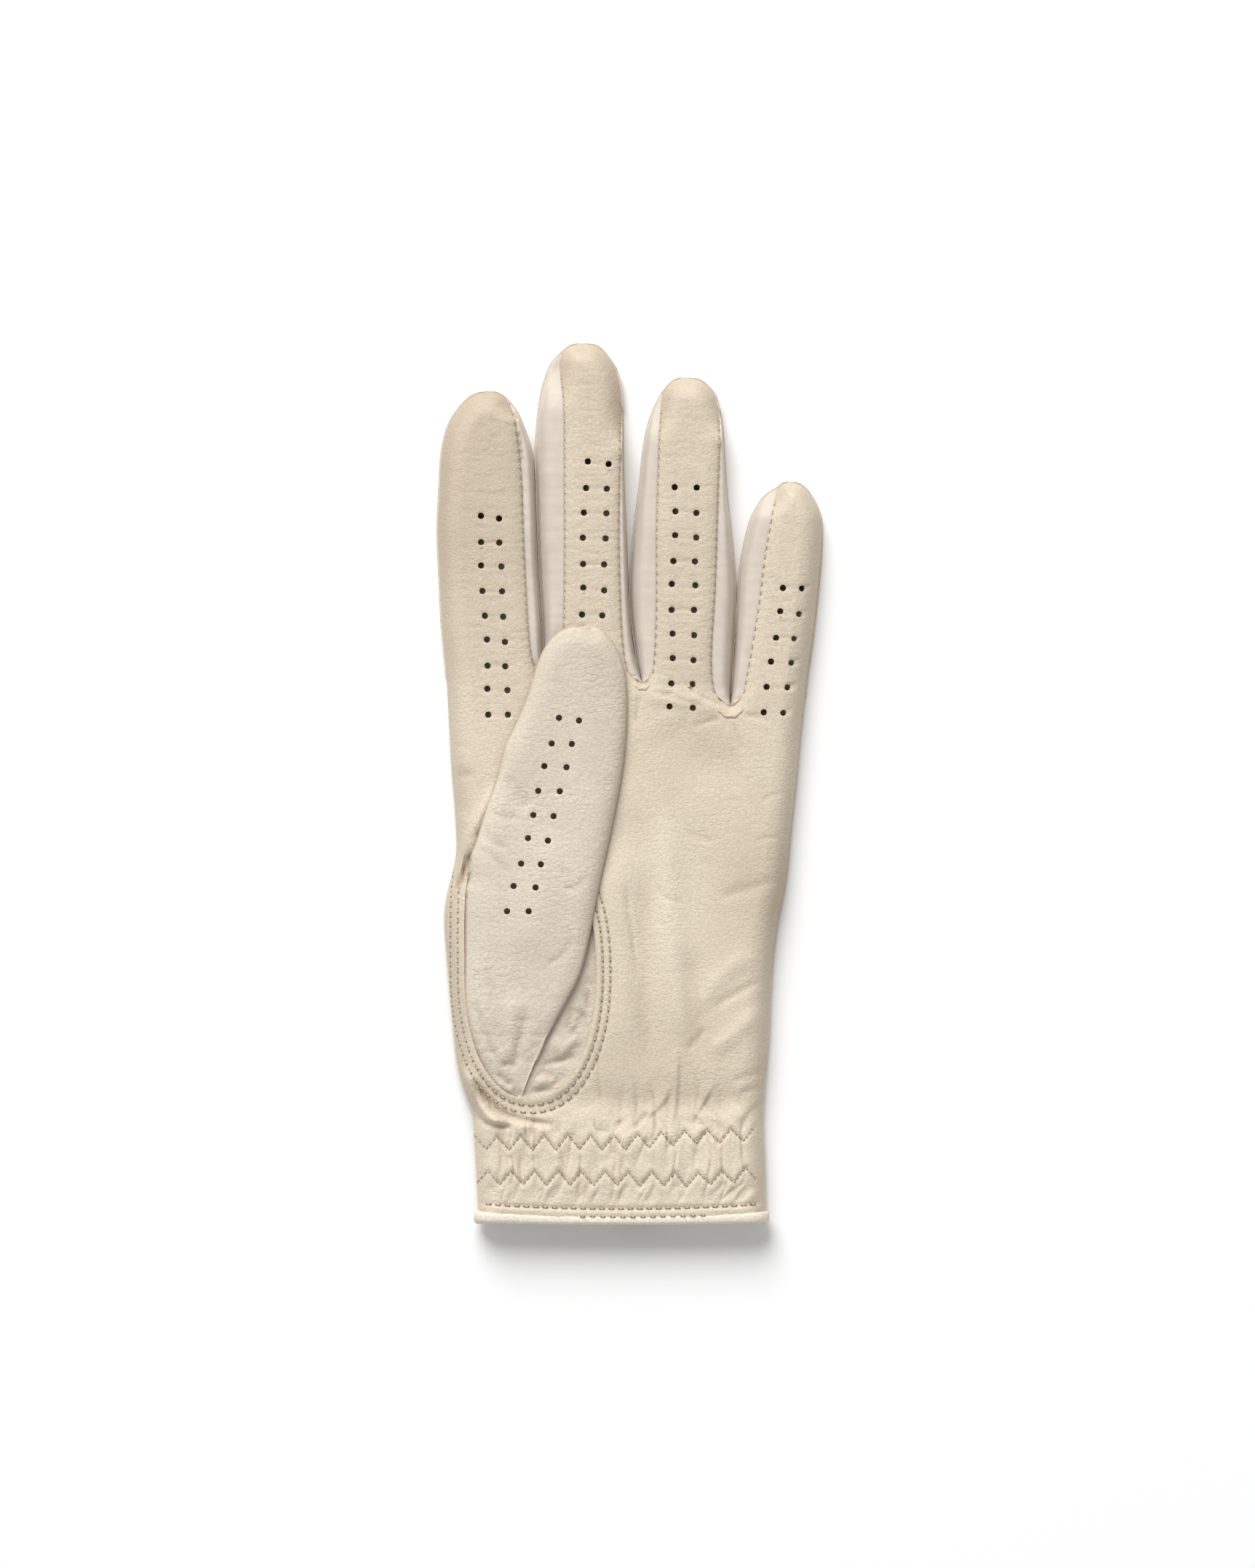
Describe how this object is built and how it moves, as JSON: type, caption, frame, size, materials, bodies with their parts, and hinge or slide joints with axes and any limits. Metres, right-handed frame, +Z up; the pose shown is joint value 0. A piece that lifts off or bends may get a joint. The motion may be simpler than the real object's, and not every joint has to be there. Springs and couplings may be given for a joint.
{
  "type": "golf glove",
  "caption": "Left-hand golf glove in thin pale leather, lying palm up with its thumb folded over the palm: perforated fingers, elasticated cuff and a tab closure on the back.",
  "frame": {"origin": "middle of the footprint, on the surface the glove lies on", "axes": "+Y from the hem to the fingertips, +Z up out of the palm, +X from the thumb side to the little finger"},
  "size_m": [0.1002, 0.23, 0.0181],
  "materials": {
    "palm_leather": "fine-grained sheepskin",
    "thumb_leather": "fine-grained sheepskin",
    "fourchette_suede": "fine matt knit",
    "elastic": "woven elastic tape",
    "thread": "polyester thread",
    "binding": "folded binding",
    "hook_and_loop": "hook and loop tape"
  },
  "bodies": {
    "hand": {"palm_panel": "palm_leather", "back_panel": "palm_leather", "fourchette_index_middle": "fourchette_suede", "fourchette_middle_ring": "fourchette_suede", "fourchette_ring_little": "fourchette_suede", "thumb_gusset": "thumb_leather", "thumb_seam_stitching": "thread", "wrist_elastic_lower": "elastic", "wrist_elastic_upper": "elastic", "cuff_zigzag_stitching": "thread", "hem_stitching": "thread", "cuff_binding": "binding", "crotch_tacks": "thread", "slit_binding": "binding", "loop_pad": "hook_and_loop", "closure_anchor": "palm_leather"},
    "index_finger": {"index_front": "palm_leather", "index_back": "palm_leather", "index_fourchette_right": "fourchette_suede"},
    "middle_finger": {"middle_front": "palm_leather", "middle_back": "palm_leather", "middle_fourchette_left": "fourchette_suede", "middle_fourchette_right": "fourchette_suede"},
    "ring_finger": {"ring_front": "palm_leather", "ring_back": "palm_leather", "ring_fourchette_left": "fourchette_suede", "ring_fourchette_right": "fourchette_suede"},
    "little_finger": {"little_front": "palm_leather", "little_back": "palm_leather", "little_fourchette_left": "fourchette_suede"},
    "thumb": {"thumb_front": "thumb_leather", "thumb_back": "thumb_leather"},
    "thumb_tip": {"thumb_tip_front": "thumb_leather", "thumb_tip_back": "thumb_leather"},
    "tab": {"closure_tab": "palm_leather", "hook_pad": "hook_and_loop"}
  },
  "joints": [
    {"name": "index_fold", "type": "hinge", "parent": "hand", "child": "index_finger", "pos_m": [-0.03765, 0.054, 0.01], "axis": [1, 0, 0], "range_deg": [0, 90]},
    {"name": "middle_fold", "type": "hinge", "parent": "hand", "child": "middle_finger", "pos_m": [-0.01085, 0.059, 0.01], "axis": [1, 0, 0], "range_deg": [0, 90]},
    {"name": "ring_fold", "type": "hinge", "parent": "hand", "child": "ring_finger", "pos_m": [0.01445, 0.055, 0.01], "axis": [1, 0, 0], "range_deg": [0, 90]},
    {"name": "little_fold", "type": "hinge", "parent": "hand", "child": "little_finger", "pos_m": [0.03915, 0.041, 0.01], "axis": [1, 0, 0], "range_deg": [0, 90]},
    {"name": "thumb_swing", "type": "hinge", "parent": "hand", "child": "thumb", "pos_m": [-0.02815, -0.0444, 0.01025], "axis": [0, 0, 1], "range_deg": [0, 50]},
    {"name": "thumb_fold", "type": "hinge", "parent": "thumb", "child": "thumb_tip", "pos_m": [-0.01887, -0.00037, 0.0181], "axis": [0.9785, -0.2062, 0], "range_deg": [0, 70]},
    {"name": "tab_open", "type": "hinge", "parent": "hand", "child": "tab", "pos_m": [-0.01885, -0.085, 0], "axis": [0, 1, 0], "range_deg": [0, 150]}
  ]
}
